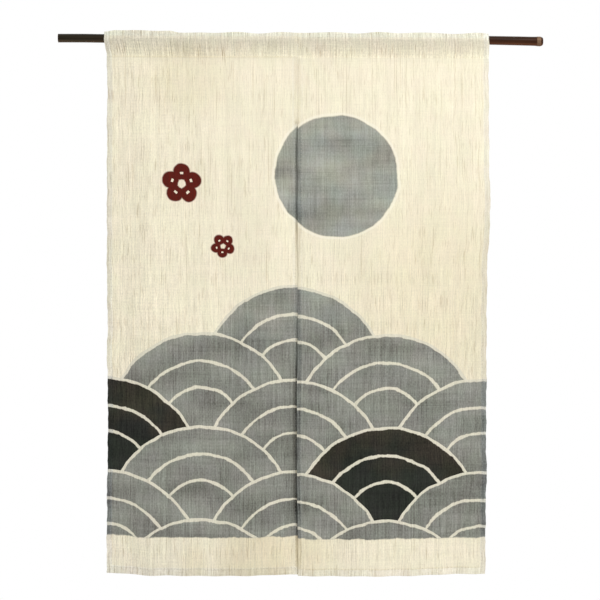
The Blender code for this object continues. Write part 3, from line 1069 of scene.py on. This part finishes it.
# painted light: the pocket's lower band, the cloth just under its stitches at the left, the bottom hem and
# the left hem low down are lightened
by_stitches = v.rise(STITCH_HEIGHT - 0.0027, STITCH_HEIGHT - 0.0005) * u.rise(0.15, -0.05)
by_stitches = by_stitches.most(in_pocket)
painted_light = by_stitches * v.rise(STITCH_HEIGHT + 0.026, STITCH_HEIGHT + 0.002)
painted_light = painted_light.most(bottom_doubled * (0.55 + u.rise(0.06, 0.24) * 0.35))
painted_light = painted_light.most(left_hem * v.rise(-1.02, -1.12) * 0.9)
# painted shade: a strip up to 18 mm under the stitches, on the right, is darkened
painted_shade_under_stitches = v.rise(STITCH_HEIGHT - 0.018, STITCH_HEIGHT - 0.003) * (1.0 - by_stitches)
colour = dye.scale(colour, 1.0 + painted_light * (1.0 - dark_share) * 0.115 - painted_shade_under_stitches * 0.05)
crest = v.band(STITCH_HEIGHT + CREST_RUN, 0.026, 0.006)
colour = dye.blend(crest, colour, CREST, "MULTIPLY")
print("cloth finish has", len(dye.tree.nodes), "nodes so far")

# %% Weave, sheerness and the finished surface
SHEER = 0.26

relief = weave * 0.00010 + warp_long * 0.00022 + warp_short * 0.00022 + thick_warp * 0.00022
relief = relief + weft_long * 0.00016 + thick_weft * 0.00016
bump = dye.node("ShaderNodeBump", (), {"Strength": 0.55, "Distance": 1.0, "Height": relief})
matt = {"Specular IOR Level": 0.1, "Sheen Weight": 0.05, "Sheen Roughness": 0.6}
matt.update({"Base Color": colour, "Roughness": 0.86 + (warp_short - 0.5) * 0.1, "Normal": bump.outputs[0]})
front = dye.node("ShaderNodeBsdfPrincipled", (), matt)
behind = dye.node("ShaderNodeBsdfTranslucent", (), {"Color": THROUGH})
sheer = (1.0 - dark_share) * (SHEER - (warp_long - 0.5) * 0.20 - (warp_short - 0.5) * 0.30 - slubs * 0.06)
both = dye.node("ShaderNodeMixShader", (), {0: sheer, 1: front.outputs[0], 2: behind.outputs[0]})
dye.coat([cloth for cloth, _ in cloths.values()], both)
print("cloth finish has", len(dye.tree.nodes), "nodes")

# %% Thread
YARN, YARN_DYED, YARN_INKED = tint(228, 220, 196), tint(172, 168, 152), tint(58, 58, 52)

spun = Finish("spun thread")
where = spun.place_on_piece()
across, _, height = spun.parts(where)
yarn = spun.blend(height.rise(-0.60, -0.15), YARN_DYED, YARN)
beside_ink = across.rise(-0.38, -0.40) * height.band(-0.885, 0.272, 0.012)
yarn = spun.blend(beside_ink, yarn, YARN_INKED)
fuzz = spun.value(spun.node("ShaderNodeTexNoise", (), {"Vector": where, "Scale": 900.0, "Detail": 2.0}))
fuzzy = {"Base Color": spun.scale(yarn, 0.8 + fuzz * 0.4), "Roughness": 0.8 + fuzz * 0.1}
spun.coat(threads, spun.node("ShaderNodeBsdfPrincipled", (), fuzzy))
print(len(threads), "pieces of thread")

# %% [markdown]
# ## The bamboo's finish
# Smoked bamboo has a thin hard skin, so it shines a little along its length. The smoke has stained it
# nearly black at one end and red-brown at the other, in fine streaks along the fibres. The scar rings are
# bare of skin and stay pale.

# %% Smoked bamboo
SOOT = tint(36, 30, 19)
RUSSET = tint(51, 26, 11)
SCAR = tint(120, 95, 74)
PITH = tint(122, 96, 66)

smoke = Finish("smoked bamboo")
along, depth, height = smoke.parts(smoke.place_on_piece())
fibre = smoke.grain(along * 9, depth * 1300, height * 1300, 3.0)
ridge = smoke.grain(along * 7, depth * 420, height * 420, 2.0)
stain = smoke.grain(along * 16, depth * 70, height * 70, 4.0)
patch = smoke.grain(along * 5 + 3.0, depth * 30, height * 30, 2.0)
redness = along.rise(-0.60, 0.45) * 0.75 + (stain - 0.5) * 0.9 + (patch - 0.5) * 0.7 - height * 28.0
# the pale floor lights the underside
underside = (height - pole_rise(along) - POLE_LIFT).rise(-0.0038, -0.0078)
skin = smoke.blend(redness.most(0).least(1), SOOT, RUSSET)
skin = smoke.scale(skin, 1.0 + (fibre - 0.5) * 0.9 + (ridge - 0.5) * 2.4 + underside * 2.2)

scars = 0.0
for at in NODE_X:
    scars = along.band(at - 0.0003, 0.0088, 0.0016).most(scars)
bare = scars * (0.72 + (ridge - 0.5) * 2.6 + (stain - 0.5) * 1.2)
skin = smoke.blend(bare.least(1).most(0), skin, SCAR)
pores = smoke.grain(along * 2, depth * 2600, height * 2600, 1.0).rise(0.50, 0.62)
sawn = smoke.scale(PITH, 1.0 - pores * 0.45)
sawn_end = along.rise(0.0006 - HALF, 0.0002 - HALF)
skin = smoke.blend(sawn_end, skin, sawn)
furrows = fibre * 0.00012 + stain * 0.0003
cracks = smoke.node("ShaderNodeBump", (), {"Strength": 0.5, "Distance": 1.0, "Height": furrows})
gloss = {"Specular IOR Level": 0.10, "Coat Weight": 0.02, "Coat Roughness": 0.22}
roughness = 0.34 + (fibre - 0.5) * 0.25 + scars * 0.30 + sawn_end * 0.4
gloss.update({"Base Color": skin, "Roughness": roughness, "Normal": cracks.outputs[0]})
smoke.coat([culm], smoke.node("ShaderNodeBsdfPrincipled", (), gloss))
print("bamboo finish has", len(smoke.tree.nodes), "nodes")
